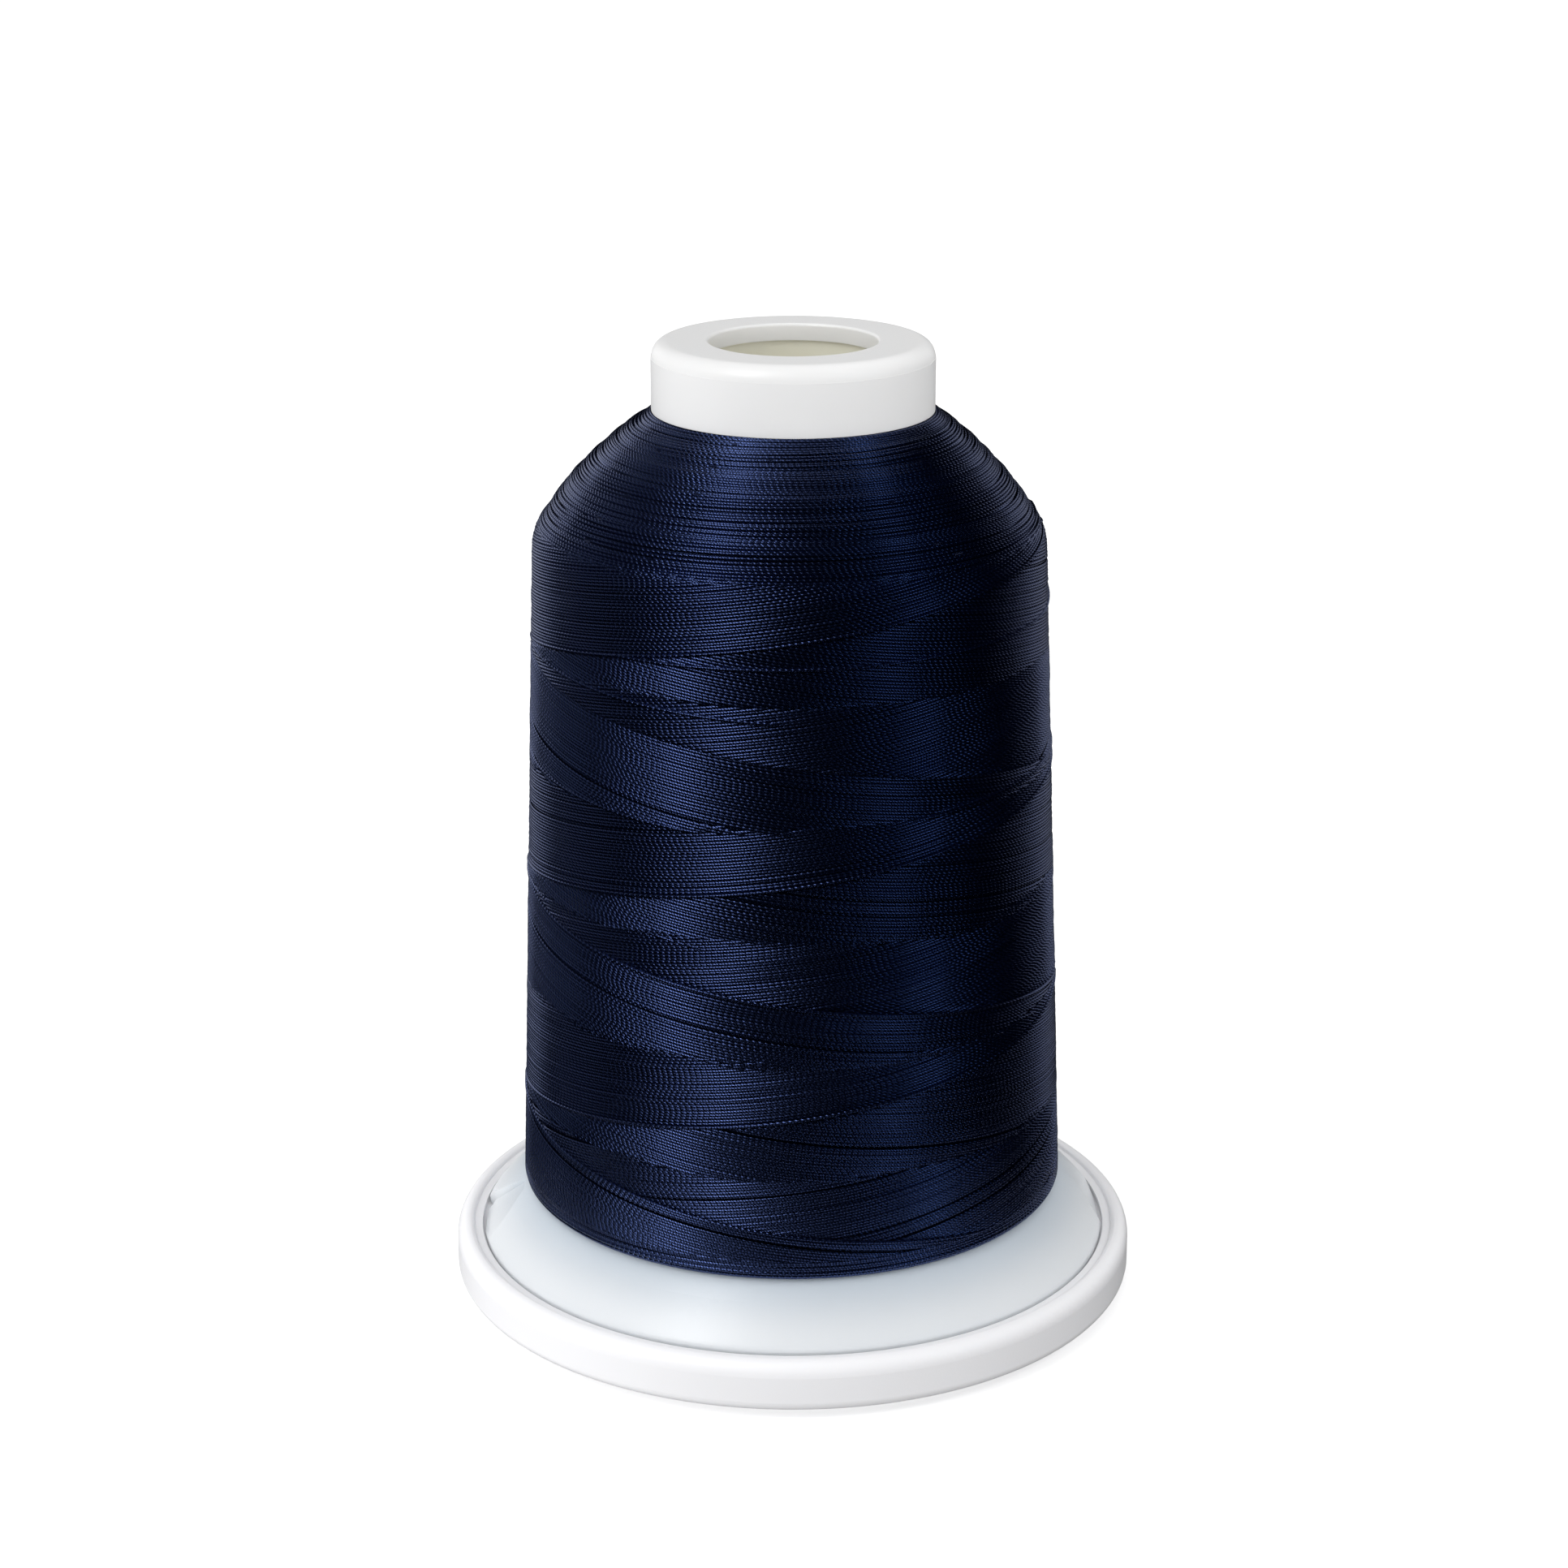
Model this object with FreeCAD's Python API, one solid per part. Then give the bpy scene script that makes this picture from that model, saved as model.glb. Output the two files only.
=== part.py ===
import FreeCAD, Part
import math
import os

# A spool of sewing thread on a snap base, in millimetres.
# +Z runs up the spool's axis.  The origin is on the axis, in the plane the base stands on.

# Through hole for a spool pin
PIN_HOLE_R = 6.35

# Snap base: a round tray with a raised rim, a step beside the flange's lip, a ledge below the
# lip that the thread's end is nipped against, and a springy hub
BASE_R = 27.0
BASE_HEIGHT = 4.7
BASE_FOOT_R = 23.2
BASE_WALL_LOW_Z = 1.5
BASE_WALL_TOP_Z = 3.5
RIM_CREST_R = 25.95
RIM_INNER_R = 25.65
RIM_INNER_Z = 4.5
STEP_OUTER_R = 25.6
STEP_INNER_R = 24.98
STEP_Z = 4.38
LEDGE_INNER_R = 24.1
LEDGE_Z = 3.85
FLOOR_TOP_Z = 2.0
FLOOR_LOW_Z = 0.6
FOOT_INNER_R = 19.0

# Hub of the base, its snap bead and the slits that make its fingers
HUB_R = 7.68
HUB_TOP_Z = 15.0
HUB_NOSE_R = 7.3
BEAD_R = 8.05
BEAD_LOW_Z = 12.6
BEAD_TOP_Z = 13.6
BEAD_CHAMFER = 0.3
SLIT_WIDTH = 1.4
SLIT_LOW_Z = 5.0
SLIT_COUNT = 4
SLIT_ANGLE = 45.0

# Travel of the spool on the hub, from closed to open
SNAP_TRAVEL = 2.5
AXIAL_PLAY = 0.1
REST_GAP = 0.02

# Flange: a domed skirt with a hub below the core tube
LIP_R = 24.8
LIP_Z = 4.7
LIP_EDGE_R = 0.2
LIP_UNDER_Z = 3.95
SKIRT_OUTER_R = 23.7
SKIRT_INNER_R = 22.5
SHELL_T = 1.3
DOME_Z = 12.2
DOME_END = (19.8, 9.35)
DOME_ARC_MID = (21.15, 8.4)
DOME_ARC_END = (22.3, 7.3)
CONE_MID = (23.55, 6.05)
SOCKET_R = 7.75
SOCKET_GROOVE_R = 8.2
SPIGOT_R = 8.87
SPIGOT_TOP_Z = 19.0

# Two notches in the flange's lip that hold the thread's end, each with a lead-in scoop
NOTCH_ANGLES = (-3.5, 176.5)
NOTCH_WIDTH = 3.2
NOTCH_APEX_R = 23.95
NOTCH_OVERREACH = 0.4
SCOOP_FOOT_INSET = 0.35
SCOOP_FOOT_SHIFT = 0.2
SCOOP_CUT_HEIGHT = 8.0
SCOOP_LIP_DEPTH = 0.75
SCOOP_RADIAL_SLOPE = 1.2
SCOOP_BACK_SLOPE = 0.08
SCOOP_RIDGE_ANGLE = 131.0
SCOOP_LENGTH = 9.5
SCOOP_INNER_REACH = 5.0

# Core tube, whose bore narrows at the top to guide the spool pin
CORE_R = 9.9
CORE_BORE_R = 8.9
CORE_TOP_Z = 74.3
GUIDE_BORE_R = 6.6
GUIDE_LOW_Z = 66.5
GUIDE_TAPER_Z = 64.0

# Top cap
CAP_R = 10.65
CAP_TOP_Z = 75.6
CAP_LOW_Z = 70.4
CAP_EDGE_R = 1.2
CAP_SEAM_STEP = 0.04
CAP_HOLE_EDGE_R = 0.2
CAP_SKIRT_BORE_R = 9.93

# Wound thread, as one closed solid of its outer shape
PACKAGE_CLEARANCE = 0.05
PACKAGE_LOW = (21.3, 9.3)
PACKAGE_LOW_MID = (21.2, 8.85)
PACKAGE_LOW_END = (20.9, 8.72)
PACKAGE_HIGH = (19.45, 60.0)
PACKAGE_BEND_MID = (19.28, 61.1)
PACKAGE_BEND_END = (18.7, 62.25)
SHOULDER_MID = (15.62, 66.4)
SHOULDER_END = (10.75, CAP_LOW_Z - PACKAGE_CLEARANCE)

AXIS_FOOT = FreeCAD.Vector(0, 0, 0)
UP = FreeCAD.Vector(0, 0, 1)
ROUND_PULL = 0.5523  # makes a cubic curve follow a quarter of an ellipse
CUT_MARGIN = 2.0  # how far cutters stand out past what they cut


def at(point):
    """A point of a half section, given as (radius, height), as a vector."""
    return FreeCAD.Vector(point[0], 0, point[1])


def line(start, end):
    """A straight stretch of a half section."""
    return Part.LineSegment(at(start), at(end)).toShape()


def arc(start, middle, end):
    """A round stretch of a half section, through three points."""
    return Part.Arc(at(start), at(middle), at(end)).toShape()


def rounding(start, corner, end):
    """A round that leaves both sides of a corner smoothly, with legs that may differ."""
    leave = [start[i] + (corner[i] - start[i]) * ROUND_PULL for i in (0, 1)]
    arrive = [end[i] + (corner[i] - end[i]) * ROUND_PULL for i in (0, 1)]
    curve = Part.BezierCurve()
    curve.setPoles([at(start), at(leave), at(arrive), at(end)])
    return curve.toShape()


def chain(points):
    """Straight stretches through a row of points."""
    return [line(points[i], points[i + 1]) for i in range(len(points) - 1)]


def turned(edges):
    """The solid swept by turning a closed half section about the spool's axis."""
    face = Part.Face(Part.Wire(edges))
    return face.revolve(AXIS_FOOT, UP, 360)


def snap_base():
    """The round tray that the spool snaps onto, with its rim, step, ledge and slotted hub."""
    crest = (RIM_CREST_R, BASE_HEIGHT)
    wall_top = (BASE_R, BASE_WALL_TOP_Z)
    wall_low = (BASE_R, BASE_WALL_LOW_Z)
    foot = (BASE_FOOT_R, 0)
    rim_inner = (RIM_INNER_R, RIM_INNER_Z)
    outer = [
        line((FOOT_INNER_R, 0), foot),
        rounding(foot, (BASE_R, 0), wall_low),
        line(wall_low, wall_top),
        rounding(wall_top, (BASE_R, BASE_HEIGHT), crest),
        rounding(crest, (RIM_INNER_R, BASE_HEIGHT), rim_inner),
    ]
    inner = chain([
        rim_inner,
        (STEP_OUTER_R, STEP_Z),
        (STEP_INNER_R, STEP_Z),
        (STEP_INNER_R, LEDGE_Z),
        (LEDGE_INNER_R, LEDGE_Z),
        (LEDGE_INNER_R, FLOOR_TOP_Z),
        (HUB_R, FLOOR_TOP_Z),
        (HUB_R, BEAD_LOW_Z - BEAD_CHAMFER),
        (BEAD_R, BEAD_LOW_Z),
        (BEAD_R, BEAD_TOP_Z - BEAD_CHAMFER),
        (HUB_R, BEAD_TOP_Z),
        (HUB_NOSE_R, HUB_TOP_Z),
        (PIN_HOLE_R, HUB_TOP_Z),
        (PIN_HOLE_R, FLOOR_LOW_Z),
        (FOOT_INNER_R - FLOOR_LOW_Z, FLOOR_LOW_Z),
        (FOOT_INNER_R, 0),
    ])
    base = turned(outer + inner)
    slit_reach = HUB_R + CUT_MARGIN
    for i in range(SLIT_COUNT // 2):
        slit = Part.makeBox(2 * slit_reach, SLIT_WIDTH, HUB_TOP_Z - SLIT_LOW_Z + CUT_MARGIN)
        slit.translate(FreeCAD.Vector(-slit_reach, -SLIT_WIDTH / 2, SLIT_LOW_Z))
        slit.rotate(AXIS_FOOT, UP, SLIT_ANGLE + i * 360 / SLIT_COUNT)
        base = base.cut(slit)
    return base


def lip_notch():
    """Cutter for a V notch through the lip, at angle 0."""
    half = NOTCH_WIDTH / 2
    reach = LIP_R + NOTCH_OVERREACH
    corners = [(NOTCH_APEX_R, 0), (reach, -half), (reach, half), (NOTCH_APEX_R, 0)]
    outline = Part.makePolygon([FreeCAD.Vector(x, y, LIP_UNDER_Z - CUT_MARGIN) for x, y in corners])
    return Part.Face(outline).extrude(UP * (LIP_Z - LIP_UNDER_Z + 2 * CUT_MARGIN))


def lip_scoop():
    """Cutter for the sloping lead-in behind a notch at angle 0, which thins out backwards."""
    ridge = math.radians(SCOOP_RIDGE_ANGLE)
    inward = (math.cos(ridge), math.sin(ridge))
    foot = (LIP_R - SCOOP_FOOT_INSET, -SCOOP_FOOT_SHIFT)
    outer = (foot[0] - CUT_MARGIN * inward[0], foot[1] - CUT_MARGIN * inward[1])
    inner = (foot[0] + SCOOP_INNER_REACH * inward[0], foot[1] + SCOOP_INNER_REACH * inward[1])
    back = (inner[0], inner[1] + SCOOP_LENGTH)
    corners = [outer, (LIP_R + CUT_MARGIN, back[1]), back, inner, outer]

    def shelf_z(x, y):
        drop = SCOOP_RADIAL_SLOPE * (x - LIP_R) + SCOOP_BACK_SLOPE * y
        return LIP_Z - SCOOP_LIP_DEPTH - drop

    outline = Part.makePolygon([FreeCAD.Vector(x, y, shelf_z(x, y)) for x, y in corners])
    return Part.Face(outline).extrude(UP * SCOOP_CUT_HEIGHT)


def flange():
    """The domed flange below the thread, with the socket that rides on the base's hub."""
    rest_z = FLOOR_TOP_Z + REST_GAP
    groove_low = BEAD_LOW_Z - SNAP_TRAVEL - AXIAL_PLAY - BEAD_CHAMFER
    groove_top = BEAD_TOP_Z + AXIAL_PLAY
    lip_edge = (LIP_R, LIP_Z - LIP_EDGE_R)
    lip_top = (LIP_R - LIP_EDGE_R, LIP_Z + LIP_EDGE_R)
    section = [
        line((CORE_R, DOME_Z), DOME_END),
        arc(DOME_END, DOME_ARC_MID, DOME_ARC_END),
        arc(DOME_ARC_END, CONE_MID, lip_top),
        rounding(lip_top, (LIP_R, LIP_Z), lip_edge),
    ]
    section += chain([
        lip_edge,
        (LIP_R, LIP_UNDER_Z + LIP_EDGE_R),
        (LIP_R - LIP_EDGE_R, LIP_UNDER_Z),
        (SKIRT_OUTER_R, LIP_UNDER_Z),
        (SKIRT_OUTER_R, rest_z),
        (SKIRT_INNER_R, rest_z),
        (SKIRT_INNER_R, DOME_ARC_END[1] - SHELL_T),
        (DOME_END[0], DOME_END[1] - SHELL_T),
        (CORE_R, DOME_Z - SHELL_T),
        (CORE_R, rest_z),
        (SOCKET_R, rest_z),
        (SOCKET_R, groove_low),
        (SOCKET_GROOVE_R, groove_low + BEAD_CHAMFER),
        (SOCKET_GROOVE_R, groove_top),
        (SOCKET_R, groove_top),
        (SOCKET_R, SPIGOT_TOP_Z),
        (SPIGOT_R, SPIGOT_TOP_Z),
        (SPIGOT_R, DOME_Z),
        (CORE_R, DOME_Z),
    ])
    body = turned(section)
    for angle in NOTCH_ANGLES:
        for cutter in (lip_notch(), lip_scoop()):
            cutter.rotate(AXIS_FOOT, UP, angle)
            body = body.cut(cutter)
    return body


def core_tube():
    """The straight tube that the thread is wound on, with a guide ring at its top."""
    return turned(chain([
        (CORE_BORE_R, DOME_Z),
        (CORE_R, DOME_Z),
        (CORE_R, CORE_TOP_Z),
        (GUIDE_BORE_R, CORE_TOP_Z),
        (GUIDE_BORE_R, GUIDE_LOW_Z),
        (CORE_BORE_R, GUIDE_TAPER_Z),
        (CORE_BORE_R, DOME_Z),
    ]))


def top_cap():
    """The cap pressed over the top of the core tube."""
    shoulder = (CAP_R - CAP_SEAM_STEP, CAP_TOP_Z - CAP_EDGE_R)
    top_edge = (CAP_R - CAP_EDGE_R, CAP_TOP_Z)
    hole_edge = (PIN_HOLE_R + CAP_HOLE_EDGE_R, CAP_TOP_Z)
    hole_wall = (PIN_HOLE_R, CAP_TOP_Z - CAP_HOLE_EDGE_R)
    section = chain([
        hole_wall,
        (PIN_HOLE_R, CORE_TOP_Z),
        (CAP_SKIRT_BORE_R, CORE_TOP_Z),
        (CAP_SKIRT_BORE_R, CAP_LOW_Z),
        (CAP_R, CAP_LOW_Z),
        (CAP_R, CAP_TOP_Z - CAP_EDGE_R),
        shoulder,
    ])
    section += [
        rounding(shoulder, (shoulder[0], CAP_TOP_Z), top_edge),
        line(top_edge, hole_edge),
        rounding(hole_edge, (PIN_HOLE_R, CAP_TOP_Z), hole_wall),
    ]
    return turned(section)


def thread_package():
    """The wound thread, as a closed ring with a tapering body and a rounded shoulder."""
    bore_r = CORE_R + PACKAGE_CLEARANCE
    low_inner = (bore_r, DOME_Z + PACKAGE_CLEARANCE)
    low_outer = (DOME_END[0], DOME_END[1] + PACKAGE_CLEARANCE)
    section = [
        line(low_inner, low_outer),
        line(low_outer, PACKAGE_LOW_END),
        arc(PACKAGE_LOW_END, PACKAGE_LOW_MID, PACKAGE_LOW),
        line(PACKAGE_LOW, PACKAGE_HIGH),
        arc(PACKAGE_HIGH, PACKAGE_BEND_MID, PACKAGE_BEND_END),
        arc(PACKAGE_BEND_END, SHOULDER_MID, SHOULDER_END),
        line(SHOULDER_END, (bore_r, SHOULDER_END[1])),
        line((bore_r, SHOULDER_END[1]), low_inner),
    ]
    return turned(section)


NODES = {
    "snap_base": snap_base,
    "spool_flange": flange,
    "core_tube": core_tube,
    "top_cap": top_cap,
    "thread_package": thread_package,
}

os.makedirs("parts", exist_ok=True)
for name, make in NODES.items():
    shape = make()
    shape.exportStep("parts/" + name + ".step")
    print(name, "valid", shape.isValid(), "solids", len(shape.Solids), "mm3", round(shape.Volume, 1))
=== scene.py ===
"""Studio model of a spool of thread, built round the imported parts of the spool.

Lengths in the classes are in millimetres and angles in degrees, unless a name says otherwise.
Meshes are in metres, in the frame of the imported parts: +Z runs up the spool's axis.
"""

import logging
import math
import random
from dataclasses import dataclass, field
from enum import Enum

import bmesh
import bpy
import numpy as np
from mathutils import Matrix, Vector


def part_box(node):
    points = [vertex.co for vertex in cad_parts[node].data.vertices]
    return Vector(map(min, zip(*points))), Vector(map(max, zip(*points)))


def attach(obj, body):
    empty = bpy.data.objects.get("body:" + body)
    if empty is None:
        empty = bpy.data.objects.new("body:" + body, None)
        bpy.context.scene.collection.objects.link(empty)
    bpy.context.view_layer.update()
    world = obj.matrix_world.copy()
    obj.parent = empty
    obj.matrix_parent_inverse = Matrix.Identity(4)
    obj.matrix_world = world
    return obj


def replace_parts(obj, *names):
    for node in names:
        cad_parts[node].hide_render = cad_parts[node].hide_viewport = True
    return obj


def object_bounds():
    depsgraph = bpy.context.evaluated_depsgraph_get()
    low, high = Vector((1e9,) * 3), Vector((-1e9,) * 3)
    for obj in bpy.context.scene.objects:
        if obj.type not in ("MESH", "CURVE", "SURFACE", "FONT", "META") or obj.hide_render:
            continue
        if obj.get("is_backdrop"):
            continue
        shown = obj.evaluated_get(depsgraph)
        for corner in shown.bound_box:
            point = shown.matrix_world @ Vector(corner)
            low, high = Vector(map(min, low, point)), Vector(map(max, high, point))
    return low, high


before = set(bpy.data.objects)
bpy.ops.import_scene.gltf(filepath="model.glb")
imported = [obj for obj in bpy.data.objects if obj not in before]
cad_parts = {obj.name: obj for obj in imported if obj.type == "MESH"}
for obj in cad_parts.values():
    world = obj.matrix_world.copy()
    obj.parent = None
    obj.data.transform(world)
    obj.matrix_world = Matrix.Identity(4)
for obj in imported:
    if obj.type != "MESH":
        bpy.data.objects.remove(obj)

MM = 0.001
SEED = 11
THREAD_NUMBERS = ("along", "across", "tone")
LOG = logging.getLogger("spool")

NodeSocket = bpy.types.NodeSocket


# ---------------------------------------------------------------------------------------------
# Node helpers
# ---------------------------------------------------------------------------------------------


class NodeTree:
    """A short hand for wiring a material's or a world's nodes."""

    def __init__(self, tree: bpy.types.NodeTree) -> None:
        """Start from an empty tree.

        Args:
            tree: the node tree to fill.
        """
        self.tree = tree
        tree.nodes.clear()

    def add(self, kind: str, **settings: object) -> bpy.types.Node:
        """Add a node.

        Args:
            kind: the node's type name.
            settings: properties to set on it.

        Returns:
            The new node.
        """
        node = self.tree.nodes.new(kind)
        for name, value in settings.items():
            setattr(node, name, value)
        return node

    def feed(self, socket: NodeSocket, value: object) -> None:
        """Link a socket to another socket, or set its value.

        Args:
            socket: the input to feed.
            value: an output socket, a number or a colour.
        """
        if isinstance(value, bpy.types.NodeSocket):
            self.tree.links.new(value, socket)
        else:
            socket.default_value = value

    def math(self, operation: str, *values: object) -> NodeSocket:
        """A Math node of one operation on the given values, as its output socket."""
        node = self.add("ShaderNodeMath", operation=operation)
        for socket, value in zip(node.inputs, values):
            self.feed(socket, value)
        return node.outputs[0]

    def ramp(self, value: NodeSocket, low: float, high: float, out_low: float, out_high: float) -> NodeSocket:
        """A smooth Map Range from low..high to out_low..out_high, as its output socket."""
        node = self.add("ShaderNodeMapRange", interpolation_type="SMOOTHSTEP")
        for socket, number in zip(node.inputs[1:5], (low, high, out_low, out_high)):
            socket.default_value = number
        self.feed(node.inputs[0], value)
        return node.outputs[0]

    def mix(self, factor: object, first: object, second: object, blend: str = "MIX") -> NodeSocket:
        """A colour mix of first and second, as its output socket."""
        node = self.add("ShaderNodeMix", data_type="RGBA", blend_type=blend)
        self.feed(node.inputs[0], factor)
        self.feed(node.inputs[6], first)
        self.feed(node.inputs[7], second)
        return node.outputs[2]

    def attribute(self, name: str) -> NodeSocket:
        """The number that a mesh stores under a name, as an output socket."""
        return self.add("ShaderNodeAttribute", attribute_name=name).outputs["Fac"]

    def noise(self, vector: NodeSocket, scale: float, detail: float = 2.0) -> NodeSocket:
        """A noise pattern on a vector, as its output socket."""
        node = self.add("ShaderNodeTexNoise")
        self.feed(node.inputs["Vector"], vector)
        node.inputs["Scale"].default_value = scale
        node.inputs["Detail"].default_value = detail
        return node.outputs["Fac"]

    def bump(self, height: NodeSocket, distance: float, strength: float = 1.0) -> NodeSocket:
        """A Bump node, as its normal socket; distance is in metres."""
        node = self.add("ShaderNodeBump")
        node.inputs["Strength"].default_value = strength
        node.inputs["Distance"].default_value = distance
        self.feed(node.inputs["Height"], height)
        return node.outputs[0]


# ---------------------------------------------------------------------------------------------
# Finishes
# ---------------------------------------------------------------------------------------------


@dataclass(frozen=True)
class MouldedPlastic:
    """A polished or finely spark-eroded moulded plastic that lets a little light in."""

    name: str
    colour: tuple[float, float, float]
    roughness: float = 0.38
    glow_depth: float = 1.2
    glow_share: float = 0.25
    grain_height: float = 0.004
    grain_size: float = 0.18
    shade_drift: float = 0.03
    drift_scale: float = 90.0
    gloss_drift: tuple[float, float] = (-0.05, 0.07)
    ior: float = 1.49
    glow_radius: tuple[float, float, float] = (1.0, 0.95, 0.9)
    # Painted shade near the thread: the tint that the colour is multiplied by at the axis, and the radii in
    # mm over which it fades out
    painted_shade_tint: tuple[float, float, float] = (1.0, 1.0, 1.0)
    painted_shade_reach: tuple[float, float] = (20.5, 24.5)

    def material(self) -> bpy.types.Material:
        """Make the material.

        Returns:
            A material with faint grain, shade drift, gloss drift and painted shade near the axis.
        """
        material = bpy.data.materials.new(self.name)
        material.use_nodes = True
        nodes = NodeTree(material.node_tree)
        place = nodes.add("ShaderNodeTexCoord").outputs["Object"]
        shader = nodes.add("ShaderNodeBsdfPrincipled")
        drift = nodes.noise(place, self.drift_scale)
        grain = nodes.noise(place, 1.0 / (self.grain_size * MM), 3.0)
        dark = tuple(c * (1.0 - self.shade_drift) for c in self.colour)
        body = nodes.mix(drift, (*dark, 1), (*self.colour, 1))
        # Painted shade: the colour is multiplied towards a darker, bluer tint near the axis, where the thread
        # package shades the plastic
        painted_body = nodes.mix(self.painted_shade_amount(nodes, place), body, (*self.painted_shade_tint, 1), "MULTIPLY")
        nodes.feed(shader.inputs["Base Color"], painted_body)
        gloss = nodes.ramp(grain, 0.3, 0.7, *(self.roughness + change for change in self.gloss_drift))
        nodes.feed(shader.inputs["Roughness"], gloss)
        shader.inputs["IOR"].default_value = self.ior
        shader.inputs["Subsurface Weight"].default_value = self.glow_share
        shader.inputs["Subsurface Radius"].default_value = self.glow_radius
        shader.inputs["Subsurface Scale"].default_value = self.glow_depth * MM
        nodes.feed(shader.inputs["Normal"], nodes.bump(grain, self.grain_height * MM))
        output = nodes.add("ShaderNodeOutputMaterial")
        nodes.feed(output.inputs["Surface"], shader.outputs[0])
        return material


    def painted_shade_amount(self, nodes: NodeTree, place: NodeSocket) -> NodeSocket:
        """Where painted shade falls on the plastic: 1 near the axis, where the thread package shades it,
        falling to 0 at the lip.
        """
        parts = nodes.add("ShaderNodeSeparateXYZ")
        nodes.feed(parts.inputs[0], place)
        squares = [nodes.math("MULTIPLY", parts.outputs[axis], parts.outputs[axis]) for axis in "XY"]
        radius = nodes.math("SQRT", nodes.math("ADD", *squares))
        low, high = (reach * MM for reach in self.painted_shade_reach)
        return nodes.ramp(radius, low, high, 1.0, 0.0)


@dataclass(frozen=True)
class TwistedThread:
    """Two-ply filament thread: painted shade darkens it between the plies, and it is lustrous along them."""

    name: str
    # Painted shade between the plies: a darker copy of the navy for the grooves and the lit navy for the
    # crests
    painted_groove_shade: tuple[float, float, float] = (0.0002, 0.0004, 0.0018)
    lit: tuple[float, float, float] = (0.0004, 0.0009, 0.0048)
    lustre: tuple[float, float, float] = (0.26, 0.39, 1.0)
    roughness: float = 0.20
    ply_pitch: float = 0.46
    ply_slant: float = 0.62
    ply_height: float = 0.020
    ply_crest: float = 0.7
    phase_spread: float = 7.0
    strand_shade: tuple[float, float] = (0.75, 1.2)
    groove_dulling: float = 0.08
    ior: float = 2.0

    def material(self) -> bpy.types.Material:
        """Make the material from the mesh's own along, across and tone numbers.

        Returns:
            A material with twisted plies and a shade for each strand.
        """
        material = bpy.data.materials.new(self.name)
        material.use_nodes = True
        nodes = NodeTree(material.node_tree)
        along = nodes.attribute("along")
        across = nodes.attribute("across")
        tone = nodes.attribute("tone")
        turn = nodes.math("DIVIDE", along, self.ply_pitch)
        slant = nodes.math("MULTIPLY", across, self.ply_slant)
        offset = nodes.math("MULTIPLY", tone, self.phase_spread)
        phase = nodes.math("ADD", nodes.math("ADD", turn, slant), offset)
        wave = nodes.math("SINE", nodes.math("MULTIPLY", phase, 2.0 * math.pi))
        ply = nodes.ramp(wave, -1.0, self.ply_crest, 0.0, 1.0)
        # Painted shade: the colour darkens in the grooves between the plies and lightens on their crests
        shade = nodes.mix(ply, (*self.painted_groove_shade, 1), (*self.lit, 1))
        strand = nodes.ramp(tone, 0.0, 1.0, *self.strand_shade)
        scaled = nodes.add("ShaderNodeVectorMath", operation="SCALE")
        nodes.feed(scaled.inputs[0], shade)
        nodes.feed(scaled.inputs["Scale"], strand)
        shader = nodes.add("ShaderNodeBsdfPrincipled")
        nodes.feed(shader.inputs["Base Color"], scaled.outputs[0])
        gloss = nodes.ramp(ply, 0.0, 1.0, self.roughness + self.groove_dulling, self.roughness)
        nodes.feed(shader.inputs["Roughness"], gloss)
        shader.inputs["IOR"].default_value = self.ior
        shader.inputs["Specular IOR Level"].default_value = 1.0
        shader.inputs["Specular Tint"].default_value = (*self.lustre, 1)
        nodes.feed(shader.inputs["Normal"], nodes.bump(ply, self.ply_height * MM))
        output = nodes.add("ShaderNodeOutputMaterial")
        nodes.feed(output.inputs["Surface"], shader.outputs[0])
        return material


# ---------------------------------------------------------------------------------------------
# The wound thread
# ---------------------------------------------------------------------------------------------


class Lay(Enum):
    """Which way a thread climbs as it goes round with the growing angle."""

    FALLING = -1
    RISING = 1


def circle_through(a: tuple, b: tuple, c: tuple) -> tuple[float, float, float]:
    """The centre and radius of the circle through three points of a plane."""
    ax, ay, bx, by = b[0] - a[0], b[1] - a[1], c[0] - a[0], c[1] - a[1]
    scale = 2.0 * (ax * by - ay * bx)
    la, lb = ax * ax + ay * ay, bx * bx + by * by
    ux, uy = (by * la - ay * lb) / scale, (ax * lb - bx * la) / scale
    return a[0] + ux, a[1] + uy, math.hypot(ux, uy)


def arc_points(a: tuple, b: tuple, c: tuple, count: int) -> list[tuple[float, float]]:
    """Points along the round stretch from a through b to c."""
    cx, cy, radius = circle_through(a, b, c)
    first = math.atan2(a[1] - cy, a[0] - cx)
    last = math.atan2(c[1] - cy, c[0] - cx)
    angles = [first + (last - first) * i / count for i in range(count + 1)]
    return [(cx + radius * math.cos(t), cy + radius * math.sin(t)) for t in angles]


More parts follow.
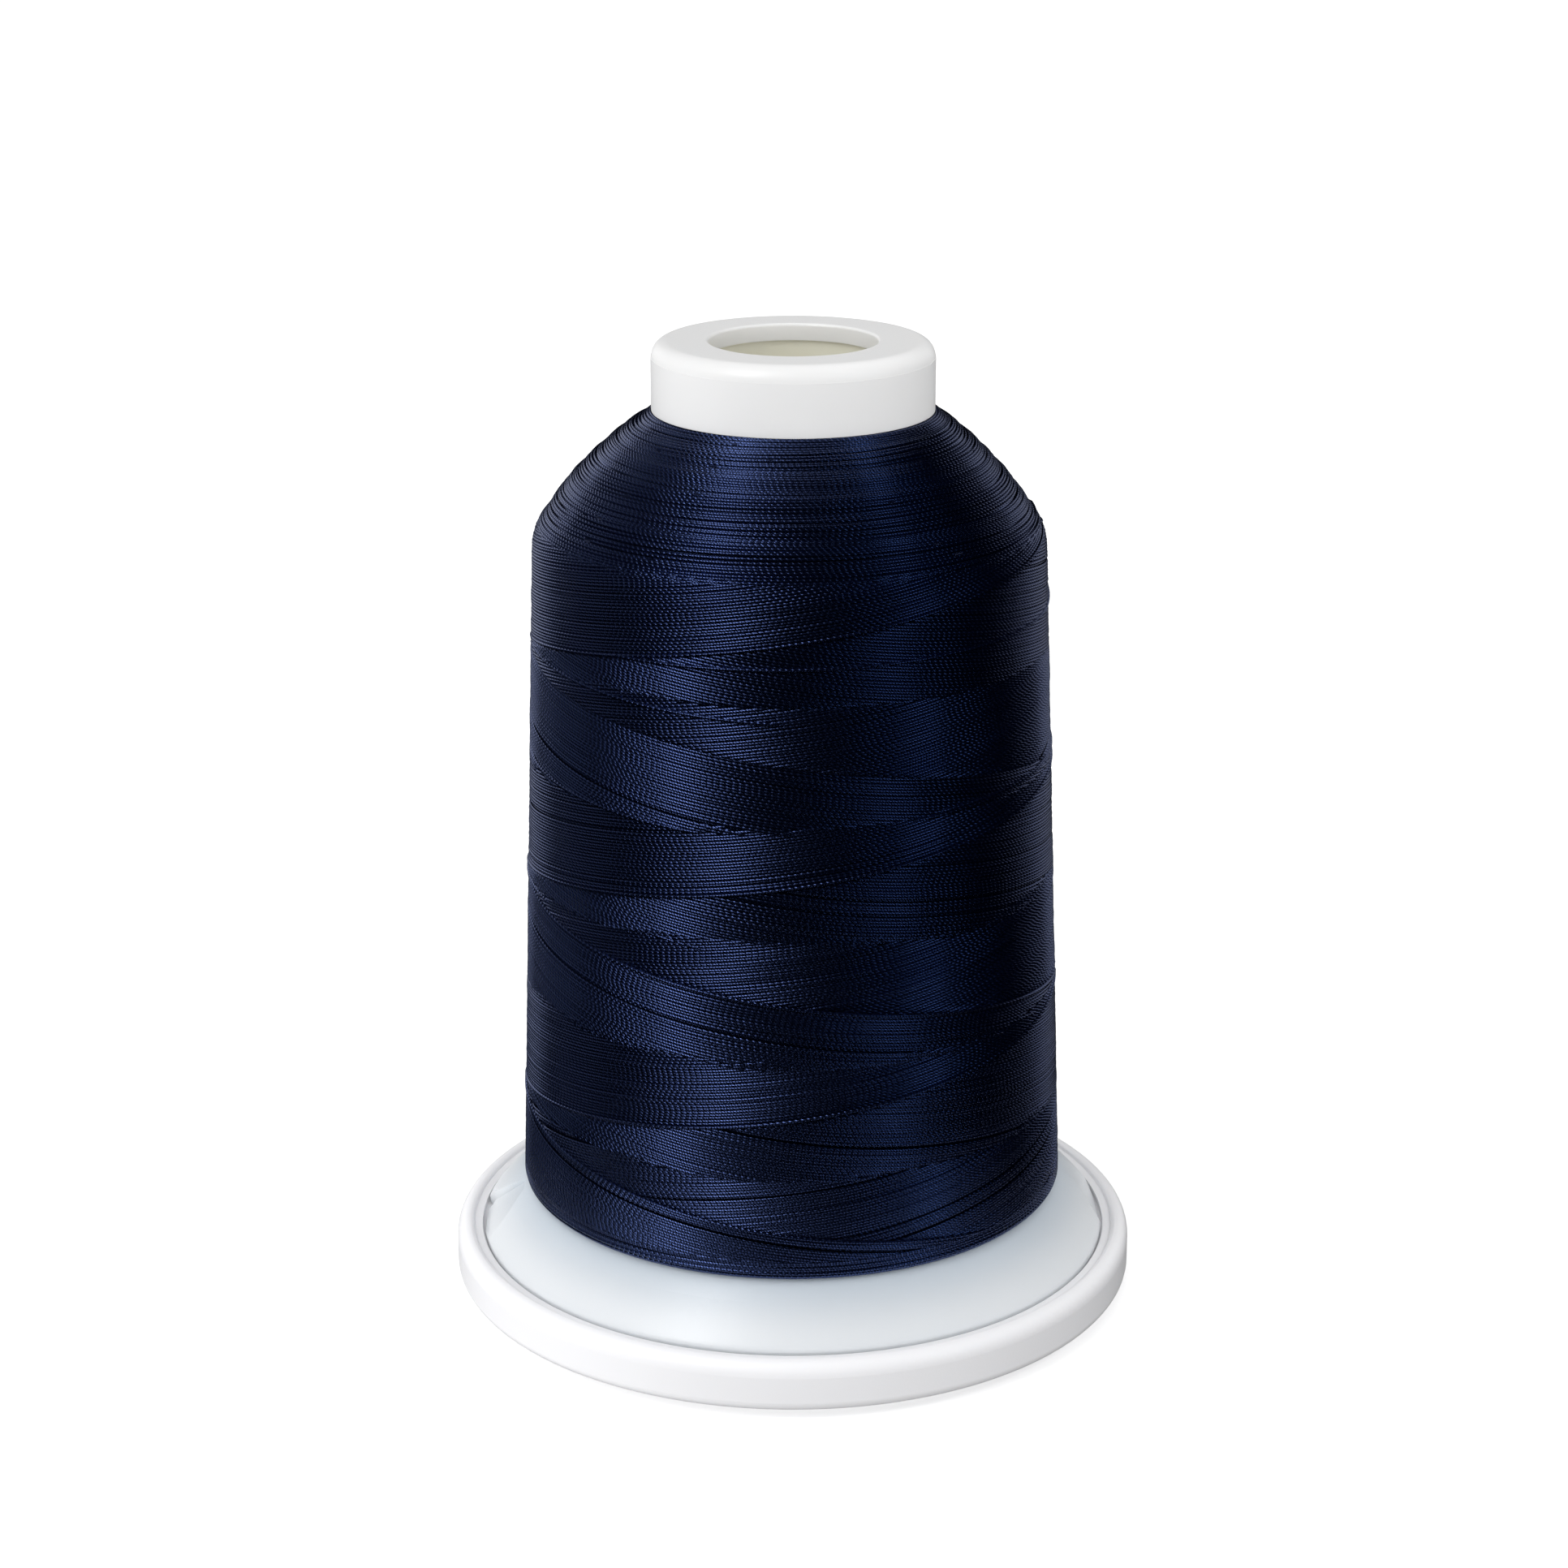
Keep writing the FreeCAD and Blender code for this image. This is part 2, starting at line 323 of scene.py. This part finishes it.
@dataclass
class PackageSurface:
    """The outer half section of the wound thread, measured by length along it from its foot."""

    foot: tuple[float, float] = (20.75, 8.62)
    foot_bend: tuple[float, float] = (21.16, 8.85)
    foot_top: tuple[float, float] = (21.3, 9.4)
    body_top: tuple[float, float] = (19.45, 60.0)
    bend: tuple[float, float] = (19.28, 61.1)
    bend_top: tuple[float, float] = (18.7, 62.25)
    shoulder: tuple[float, float] = (15.62, 66.4)
    end: tuple[float, float] = (10.75, 70.42)

    def __post_init__(self) -> None:
        """Work out the half section's points, lengths and outward directions."""
        points = arc_points(self.foot, self.foot_bend, self.foot_top, 8)
        steps = 60
        for i in range(1, steps):
            share = i / steps
            points.append(tuple(self.foot_top[k] * (1 - share) + self.body_top[k] * share for k in (0, 1)))
        points += arc_points(self.body_top, self.bend, self.bend_top, 10)
        points += arc_points(self.bend_top, self.shoulder, self.end, 60)[1:]
        self.points = np.array(points)
        runs = np.hypot(*np.diff(self.points, axis=0).T)
        self.lengths = np.concatenate([[0.0], np.cumsum(runs)])
        along = np.gradient(self.points, self.lengths, axis=0)
        along /= np.hypot(along[:, 0], along[:, 1])[:, None]
        self.outward = np.stack([along[:, 1], -along[:, 0]], axis=1)

    @staticmethod
    def lean(height: np.ndarray) -> np.ndarray:
        """How far the winding has slumped along X at a height; it has not moved at the cap."""
        return np.interp(height, (8.0, 30.0, 60.0, 66.0, 70.0), (-0.08, -0.15, -0.27, -0.20, 0.0))

    @property
    def length(self) -> float:
        """The whole length of the half section."""
        return float(self.lengths[-1])

    @property
    def middle(self) -> float:
        """The height half way up the package."""
        return (self.foot[1] + self.end[1]) / 2

    def length_at(self, height: float) -> float:
        """The length along the half section at a height."""
        return float(np.interp(height, self.points[:, 1], self.lengths))

    def place(self, length: np.ndarray, lift: np.ndarray) -> np.ndarray:
        """Radius and height of points that stand off the surface.

        Args:
            length: how far along the half section each point is.
            lift: how far each point stands off the surface.

        Returns:
            An array of radius and height, one row a point.
        """
        base = np.stack([np.interp(length, self.lengths, self.points[:, k]) for k in (0, 1)], axis=1)
        out = np.stack([np.interp(length, self.lengths, self.outward[:, k]) for k in (0, 1)], axis=1)
        return base + out * lift[:, None]


@dataclass
class Run:
    """One visible stretch of thread: where it starts, how far it goes round and how it climbs."""

    start: float
    sweep: float
    length: float
    climb: float
    dive_first: float = 0.0
    dive_last: float = 0.0
    lift: float = 0.0
    sway: float = 0.0
    sway_phase: float = 0.0


@dataclass
class ThreadLayer:
    """Lays stretches of thread on the package and gathers them into pieces."""

    surface: PackageSurface
    finish: bpy.types.Material
    spacing: float = 0.232
    crown: float = 0.105
    overlap: float = 1.10
    faces_across: int = 4
    step: float = 2.25
    stand: float = 0.07
    stand_reach: float = 1.5
    dive_depth: float = 0.26
    dive_length: float = 1.5
    roundness: float = 0.92
    dice: random.Random = field(default_factory=lambda: random.Random(SEED))

    def strip(self, run: Run, radius: float, height: float) -> bmesh.types.BMesh:
        """Spin a flat upright strip along one stretch of thread.

        Args:
            run: the stretch.
            radius: how far from the axis the strip stands, in metres.
            height: the height of its middle, in metres.

        Returns:
            The strip, with its across and tone numbers stored.
        """
        strand = bmesh.new()
        _, across_layer, tone_layer = [strand.verts.layers.float.new(name) for name in THREAD_NUMBERS]
        tone = self.dice.random()
        start = math.radians(run.start)
        verts = []
        for i in range(self.faces_across + 1):
            across = -1.0 + 2.0 * i / self.faces_across
            level = height + across * self.half * MM
            vert = strand.verts.new((radius * math.cos(start), radius * math.sin(start), level))
            vert[across_layer] = across
            vert[tone_layer] = tone
            verts.append(vert)
        edges = [strand.edges.new(pair) for pair in zip(verts, verts[1:])]
        steps = max(2, round(run.sweep / self.step))
        closed = run.sweep >= 360.0
        rise = 0.0 if closed else run.climb * run.sweep * MM / steps
        bmesh.ops.spin(
            strand,
            geom=verts + edges,
            cent=(0, 0, 0),
            axis=(0, 0, 1),
            dvec=(0, 0, rise),
            angle=math.radians(run.sweep),
            steps=steps,
            use_merge=closed,
            use_duplicate=False,
        )
        return strand

    @property
    def half(self) -> float:
        """Half the width of a thread, with its overlap on the next."""
        return self.spacing * self.overlap / 2

    def drape(self, strand: bmesh.types.BMesh, run: Run, radius: float) -> None:
        """Lay a strip on the package's surface, rounded across and sunk where it dives under.

        Args:
            strand: the strip, which is changed.
            run: the stretch that it belongs to.
            radius: how far from the axis the strip was spun, in metres.
        """
        co = np.array([v.co for v in strand.verts])
        across_layer = strand.verts.layers.float["across"]
        along_layer = strand.verts.layers.float["along"]
        across = np.array([v[across_layer] for v in strand.verts])
        start = math.radians(run.start)
        slack = math.radians(self.step) / 2
        turned = np.mod(np.arctan2(co[:, 1], co[:, 0]) - start + slack, 2 * math.pi) - slack
        sway = run.sway * np.sin(turned + start + run.sway_phase)
        length = run.length + run.climb * np.degrees(turned) + sway + across * self.half
        reach = turned * radius / MM
        whole = math.radians(run.sweep) * radius / MM
        stand = self.stand * np.clip(length / self.stand_reach, 0.0, 1.0)
        crown = self.crown + max(run.lift, 0.0)
        lift = crown * (np.sqrt(1.0 - self.roundness * across**2) - 1.0) + run.lift + stand
        for depth, gap in ((run.dive_first, reach), (run.dive_last, whole - reach)):
            near = np.clip(1.0 - gap / self.dive_length, 0.0, 1.0)
            lift = lift - depth * self.dive_depth * near * near * (3.0 - 2.0 * near)
        flat = self.surface.place(length, lift) * MM
        angle = turned + start
        x = flat[:, 0] * np.cos(angle) + self.surface.lean(flat[:, 1] / MM) * MM
        for vert, *place, far in zip(strand.verts, x, flat[:, 0] * np.sin(angle), flat[:, 1], reach):
            vert.co = place
            vert[along_layer] = far
        strand.normal_update()
        inside = Vector((0, 0, self.surface.middle * MM))
        if sum(face.normal.dot(face.calc_center_median() - inside) for face in strand.faces) < 0:
            bmesh.ops.reverse_faces(strand, faces=strand.faces[:])
        for face in strand.faces:
            face.smooth = True

    def lay(self, mesh: bmesh.types.BMesh, run: Run) -> None:
        """Make one stretch of thread and add it to a mesh."""
        radius, height = self.surface.place(np.array([run.length]), np.zeros(1))[0] * MM
        strand = self.strip(run, radius, height)
        self.drape(strand, run, radius)
        piece = bpy.data.meshes.new("strand")
        strand.to_mesh(piece)
        strand.free()
        mesh.from_mesh(piece)
        bpy.data.meshes.remove(piece)

    def piece(self, name: str, runs: list[Run]) -> bpy.types.Object:
        """Make one piece from stretches of thread.

        Args:
            name: the piece's name.
            runs: its stretches.

        Returns:
            The piece, riding on the spool.
        """
        mesh = bmesh.new()
        for layer in THREAD_NUMBERS:
            mesh.verts.layers.float.new(layer)
        for run in runs:
            self.lay(mesh, run)
        return finished(name, mesh, self.finish, "spool")


def finished(
    name: str, mesh: bmesh.types.BMesh, finish: bpy.types.Material, body: str
) -> bpy.types.Object:
    """Turn a finished mesh into a piece that rides on a body.

    Args:
        name: the piece's name.
        mesh: its mesh, which is freed.
        finish: its material.
        body: the body that it moves with.

    Returns:
        The new piece.
    """
    data = bpy.data.meshes.new(name)
    mesh.to_mesh(data)
    mesh.free()
    data.materials.append(finish)
    piece = bpy.data.objects.new(name, data)
    bpy.context.scene.collection.objects.link(piece)
    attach(piece, body)
    LOG.info("%s: %d faces", name, len(data.polygons))
    return piece


@dataclass
class WoundThread:
    """The whole package of thread: bed, crossing bands, shoulder, foot and loose strands."""

    lowest_node: float = 7.78
    node_gap: float = 9.02
    bands: int = 6
    foot_edge: float = 10.1
    gap_share: float = 0.035
    gap_depth: float = 0.13
    edge_lift: float = 0.09
    overrun: float = 3.0
    jag_chance: float = 0.22
    jags: tuple[float, ...] = (0.0, 0.0, 3.0, 6.0, 10.0)
    jag_lift: float = 0.003
    place_spread: float = 0.03
    lift_spread: float = 0.015
    level_pitch: float = 0.97
    foot_tuck: float = 0.15
    scallop_height: float = 0.10
    scallop_pitch: float = 1.9
    shoulder_sink: float = 0.17
    bed_depth: float = 0.24
    bed_gap: float = 0.05
    bed_rise: float = 3.4
    bed_rows: int = 90
    bed_steps: int = 128
    layer: ThreadLayer | None = None

    def build(self) -> list[bpy.types.Object]:
        """Build every piece of the package, in order from the inside out."""
        surface = PackageSurface()
        finish = TwistedThread("navy_two_ply_thread").material()
        self.layer = ThreadLayer(surface, finish)
        pieces = [self.bed()]
        for band in range(self.bands):
            pieces.append(self.layer.piece(f"thread_band_{band + 1}", self.band_runs(band)))
        pieces.append(self.layer.piece("thread_shoulder", self.shoulder_runs()))
        pieces.append(self.layer.piece("thread_foot", self.foot_runs()))
        pieces.append(self.layer.piece("thread_strays", self.stray_runs()))
        return pieces

    def bed(self) -> bpy.types.Object:
        """The closed ring of thread just under the visible strands."""
        low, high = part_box("thread_package")
        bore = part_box("core_tube")[1].x / MM + self.bed_gap
        surface = self.layer.surface
        samples = np.linspace(0.0, surface.length, self.bed_rows)
        outline = surface.place(samples, np.full(len(samples), -self.bed_depth))
        mesh = bmesh.new()
        top = (bore, high.z / MM - self.bed_gap)
        bottom = (bore, low.z / MM + self.bed_rise)
        ring = [top, *reversed([tuple(p) for p in outline]), bottom]
        verts = [mesh.verts.new((r * MM, 0, z * MM)) for r, z in ring]
        edges = [mesh.edges.new(pair) for pair in zip(verts, verts[1:] + verts[:1])]
        bmesh.ops.spin(
            mesh, geom=verts + edges, cent=(0, 0, 0), axis=(0, 0, 1), dvec=(0, 0, 0),
            angle=2 * math.pi, steps=self.bed_steps, use_merge=True, use_duplicate=False,
        )
        bmesh.ops.remove_doubles(mesh, verts=mesh.verts[:], dist=1e-7)
        for vert in mesh.verts:
            vert.co.x += surface.lean(vert.co.z / MM) * MM
        bmesh.ops.recalc_face_normals(mesh, faces=mesh.faces[:])
        for face in mesh.faces:
            face.smooth = True
        piece = finished("thread_bed", mesh, self.layer.finish, "spool")
        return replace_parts(piece, "thread_package")

    def circle_length(self, band: int) -> float:
        """The length along the half section at the circle below a band."""
        height = self.lowest_node + band * self.node_gap
        surface = self.layer.surface
        return surface.length_at(surface.foot_top[1]) + height - surface.foot_top[1]

    def band_runs(self, band: int) -> list[Run]:
        """The stretches of one band between two circles where the layers change over.

        Falling threads fill a triangle that stands on the band's lower circle, and rising threads
        fill one that hangs from its upper circle.  The point of the first turns half way round
        from band to band.

        Args:
            band: which band, from 0 at the foot.

        Returns:
            The band's visible stretches.
        """
        layer = self.layer
        rng = layer.dice
        low = self.circle_length(band)
        valley = 180.0 if band % 2 else 0.0
        climb = self.node_gap / 180.0
        count = round(2 * self.node_gap / layer.spacing)
        over = self.overrun
        runs = []
        reach = {Lay.FALLING: 0.0, Lay.RISING: 0.0}
        for i in range(count):
            share = (i + 0.5) / count
            edge = self.edge_lift if i == count - 1 else 0.0
            for lay in Lay:
                if rng.random() < self.jag_chance:
                    reach[lay] = rng.choice(self.jags)
                slope = lay.value * climb
                sweep = 180.0 * share + 2 * over + reach[lay]
                if lay is Lay.FALLING:
                    start, length = valley + 180.0 * share, low + self.node_gap * share
                else:
                    start, length = valley + 180.0 + 180.0 * share, low + self.node_gap * (1.0 - share)
                length += rng.uniform(-self.place_spread, self.place_spread) - slope * over
                sunk = self.gap_depth if rng.random() < self.gap_share else 0.0
                lift = edge - sunk + rng.uniform(-self.lift_spread, self.lift_spread)
                lift += self.jag_lift * reach[lay]
                runs.append(Run(start - over, sweep, length, slope, 1.0, 1.0, lift))
        return runs if band else [r for r in (self.clip_low(r) for r in runs) if r]

    def clip_low(self, run: Run) -> Run | None:
        """A stretch cut off where the foot's turns cover it, or None if nothing of it shows."""
        floor = self.layer.surface.length_at(self.foot_edge) - self.foot_tuck
        last = run.length + run.climb * run.sweep
        if max(run.length, last) < floor + 2 * self.foot_tuck:
            return None
        if run.climb < 0 and last < floor:
            run.sweep = (floor - run.length) / run.climb
        elif run.climb > 0 and run.length < floor:
            lost = (floor - run.length) / run.climb
            run.start += lost
            run.sweep -= lost
            run.length = floor
        return run

    def shoulder_runs(self) -> list[Run]:
        """Almost level turns that close the package up to the cap."""
        layer = self.layer
        rng = layer.dice
        first = self.circle_length(self.bands) - 0.1
        last = layer.surface.length + 0.1
        count = round((last - first) / (layer.spacing * self.level_pitch))
        phase = 0.0
        runs = []
        for i in range(count + 1):
            phase += 0.30 + rng.uniform(-0.35, 0.35)
            place = first + (last - first) * i / count
            scallop = self.scallop_height * (abs(math.sin(math.pi * place / self.scallop_pitch)) - 0.6)
            scallop -= self.shoulder_sink * min(1.0, 2.0 * i / count)
            runs.append(Run(rng.uniform(0, 360), 360.0, place, 0.0, lift=scallop + rng.uniform(-0.02, 0.02),
                            sway=rng.uniform(0.10, 0.24), sway_phase=phase))
        return runs

    def foot_runs(self) -> list[Run]:
        """Almost level turns at the foot of the package, above the flange."""
        layer = self.layer
        rng = layer.dice
        last = layer.surface.length_at(self.foot_edge)
        whole = last + self.foot_tuck
        count = round(whole / (layer.spacing * self.level_pitch))
        runs = []
        for i in range(count + 1):
            place = last - whole * i / count
            runs.append(Run(rng.uniform(0, 360), 360.0, place, 0.0, lift=rng.uniform(-0.02, 0.03),
                            sway=rng.uniform(0.02, 0.08), sway_phase=rng.uniform(0, 6)))
        return runs

    def stray_runs(self) -> list[Run]:
        """Single threads that ride proud of the rest.

        Returns:
            The stretches. Each row gives a start and a sweep, the first and last heights, the lift,
            and how far each end dives under.
        """
        strays = (
            (-168.0, 39.0, 53.6, 55.5, 0.13, 1.0, 0.0),
            (-129.5, 118.0, 55.5, 56.0, 0.13, 0.0, 0.0),
            (-12.0, 46.0, 56.0, 57.8, 0.13, 0.0, 1.0),
            (-66.0, 78.0, 43.8, 44.9, 0.12, 1.0, 1.0),
            (-60.0, 66.0, 44.15, 45.0, 0.12, 1.0, 1.0),
            (-70.0, 80.0, 61.5, 62.8, 0.10, 1.0, 1.0),
            (-176.0, 70.0, 44.6, 43.2, 0.10, 1.0, 1.0),
            (-174.0, 84.0, 53.2, 51.6, 0.10, 1.0, 1.0),
            (120.0, 90.0, 35.4, 34.2, 0.12, 1.0, 1.0),
        )
        surface = self.layer.surface
        runs = []
        for start, sweep, first, last, lift, dive_first, dive_last in strays:
            length = surface.length_at(first)
            climb = (surface.length_at(last) - length) / sweep
            runs.append(Run(start, sweep, length, climb, dive_first, dive_last, lift))
        return runs


# ---------------------------------------------------------------------------------------------
# Moulded parts
# ---------------------------------------------------------------------------------------------


class Mouldings:
    """The four plastic parts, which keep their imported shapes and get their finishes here."""

    def dress(self) -> None:
        """Give each moulding its finish."""
        white = MouldedPlastic("white_moulding", (0.80, 0.80, 0.80))
        base = MouldedPlastic("base_moulding", (0.86, 0.86, 0.88))
        # The flange gets painted shade: darker and bluer towards the thread package
        dome = MouldedPlastic(
            "flange_moulding", (0.71, 0.735, 0.76), glow_depth=2.0, glow_share=0.4, painted_shade_tint=(0.70, 0.76, 0.82)
        )
        natural = MouldedPlastic("natural_moulding", (0.90, 0.88, 0.75), glow_depth=2.5, glow_share=0.3)
        finishes = {"top_cap": white, "snap_base": base, "spool_flange": dome, "core_tube": natural}
        for node, finish in finishes.items():
            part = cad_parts[node]
            part.data.materials.clear()
            part.data.materials.append(finish.material())
            LOG.info("%s: %s", node, finish.name)


# ---------------------------------------------------------------------------------------------
# Studio
# ---------------------------------------------------------------------------------------------


@dataclass
class SoftBox:
    """A rectangular studio light; it can be kept out of reflections or seen in them alone."""

    name: str
    azimuth: float
    elevation: float
    distance: float
    width: float
    height: float
    watts: float
    colour: tuple[float, float, float] = (1.0, 1.0, 1.0)
    mirrored: bool = True
    lights: bool = True

    def build(self, target: Vector) -> None:
        """Hang the light, with azimuth 0 beside the camera and growing to its right.

        Args:
            target: the point it is aimed at.
        """
        lamp = bpy.data.lights.new(self.name, "AREA")
        lamp.shape = "RECTANGLE"
        lamp.size, lamp.size_y = self.width, self.height
        lamp.energy = self.watts
        lamp.color = self.colour
        light = bpy.data.objects.new(self.name, lamp)
        light.visible_glossy = self.mirrored
        light.visible_diffuse = self.lights
        bpy.context.scene.collection.objects.link(light)
        turn, tilt = math.radians(self.azimuth), math.radians(self.elevation)
        away = Vector((math.sin(turn) * math.cos(tilt), -math.cos(turn) * math.cos(tilt), math.sin(tilt)))
        light.location = target + away * self.distance
        light.rotation_mode = "QUATERNION"
        light.rotation_quaternion = away.to_track_quat("Z", "Y")


@dataclass
class Studio:
    """Pale floor, soft light and the camera."""

    camera_place: tuple[float, float, float] = (-0.69, -254.2, 124.6)
    camera_dip: float = 18.26
    lens: float = 79.17
    floor_size: float = 4.0
    floor_white: float = 0.9
    floor_glow: float = 0.27
    floor_drop: float = 0.02
    room_glow: float = 0.55
    ceiling_glow: float = 0.85
    side_glow: tuple[float, float] = (1.15, 0.65)
    table_glow: tuple[float, float] = (1.50, 0.20)
    table_edge: tuple[float, float] = (-0.25, 0.15)
    ceiling_edge: tuple[float, float] = (0.3, 0.95)

    def build(self) -> None:
        """Set up floor, light and camera."""
        self.floor()
        self.surroundings()
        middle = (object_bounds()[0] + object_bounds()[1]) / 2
        base, cap = Vector((0, 0, 0.005)), Vector((0, 0, 0.073))
        SoftBox("key", -45.0, 46.0, 0.75, 0.18, 0.42, 0.85).build(middle)
        SoftBox("key_card", -45.0, 46.0, 0.75, 0.18, 0.42, 2.2, lights=False).build(middle)
        SoftBox("fill", 54.0, 27.0, 0.75, 0.20, 0.40, 0.28, (0.60, 0.80, 1.0), lights=False).build(middle)
        SoftBox("left_card", -112.0, 25.0, 0.80, 0.40, 0.50, 0.18).build(middle)
        SoftBox("back_left", -148.0, 8.0, 0.80, 0.40, 0.40, 0.5).build(middle)
        SoftBox("back_right", 144.0, 6.0, 0.80, 0.40, 0.40, 0.33).build(middle)
        SoftBox("left", -75.0, 5.0, 0.80, 0.50, 0.30, 0.15, mirrored=False).build(middle)
        SoftBox("right", 60.0, 10.0, 0.80, 0.50, 0.40, 0.12, mirrored=False).build(middle)
        SoftBox("front", 0.0, 14.0, 0.80, 0.50, 0.40, 1.1, mirrored=False).build(middle)
        SoftBox("table_card", -75.0, 9.0, 0.12, 0.08, 0.03, 0.018, mirrored=False).build(base)
        SoftBox("cap_card", 65.0, 5.0, 0.10, 0.05, 0.03, 0.030, mirrored=False).build(cap)
        self.camera()
        bpy.context.scene.view_settings.view_transform = "Standard"

    def floor(self) -> None:
        """A wide white floor that glows a little, as a lit table does."""
        mesh = bmesh.new()
        bmesh.ops.create_grid(mesh, x_segments=2, y_segments=2, size=self.floor_size / 2)
        bmesh.ops.translate(mesh, verts=mesh.verts[:], vec=(0, 0, -self.floor_drop * MM))
        data = bpy.data.meshes.new("floor")
        mesh.to_mesh(data)
        mesh.free()
        floor = bpy.data.objects.new("floor", data)
        bpy.context.scene.collection.objects.link(floor)
        material = bpy.data.materials.new("white_table")
        material.use_nodes = True
        nodes = NodeTree(material.node_tree)
        shader = nodes.add("ShaderNodeBsdfPrincipled")
        shader.inputs["Base Color"].default_value = (*[self.floor_white] * 3, 1)
        shader.inputs["Roughness"].default_value = 0.9
        shader.inputs["Emission Color"].default_value = (1, 1, 1, 1)
        shader.inputs["Emission Strength"].default_value = self.floor_glow
        output = nodes.add("ShaderNodeOutputMaterial")
        nodes.feed(output.inputs["Surface"], shader.outputs[0])
        data.materials.append(material)
        floor.visible_diffuse = False
        floor.visible_glossy = False
        floor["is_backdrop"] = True

    def surroundings(self) -> None:
        """A glowing table, a brighter ceiling, both stronger on the left, and a plain white backdrop."""
        world = bpy.data.worlds.new("studio")
        bpy.context.scene.world = world
        world.use_nodes = True
        nodes = NodeTree(world.node_tree)
        direction = nodes.add("ShaderNodeTexCoord").outputs["Generated"]
        parts = nodes.add("ShaderNodeSeparateXYZ")
        nodes.feed(parts.inputs[0], direction)
        table = nodes.ramp(parts.outputs["X"], -1.0, 1.0, *self.table_glow)
        below = nodes.ramp(parts.outputs["Z"], *self.table_edge, 1.0, 0.0)
        overhead = self.room_glow + self.ceiling_glow
        ceiling = nodes.ramp(parts.outputs["Z"], *self.ceiling_edge, self.room_glow, overhead)
        side = nodes.ramp(parts.outputs["X"], -1.0, 1.0, *self.side_glow)
        ceiling = nodes.math("MULTIPLY", ceiling, side)
        blend = nodes.add("ShaderNodeMix")
        for socket, value in zip(blend.inputs[:1] + blend.inputs[2:4], (below, ceiling, table)):
            nodes.feed(socket, value)
        glow = blend.outputs[0]
        seen = nodes.add("ShaderNodeLightPath").outputs["Is Camera Ray"]
        strength = nodes.math("MAXIMUM", seen, glow)
        background = nodes.add("ShaderNodeBackground")
        background.inputs["Color"].default_value = (1, 1, 1, 1)
        nodes.feed(background.inputs["Strength"], strength)
        output = nodes.add("ShaderNodeOutputWorld")
        nodes.feed(output.inputs["Surface"], background.outputs[0])
        world.cycles_visibility.glossy = False

    def camera(self) -> None:
        """A long lens a little above the spool, looking down at it."""
        data = bpy.data.cameras.new("camera")
        data.lens = self.lens
        data.sensor_width = 36.0
        data.clip_start = 0.01
        camera = bpy.data.objects.new("camera", data)
        camera.location = Vector(self.camera_place) * MM
        camera.rotation_euler = (math.radians(90.0 - self.camera_dip), 0, 0)
        bpy.context.scene.collection.objects.link(camera)
        bpy.context.scene.camera = camera


def main() -> None:
    """Build and dress every piece, then set up the studio."""
    logging.basicConfig(level=logging.INFO, format="%(message)s")
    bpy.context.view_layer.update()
    WoundThread().build()
    Mouldings().dress()
    Studio().build()


if __name__ == "__main__":
    main()
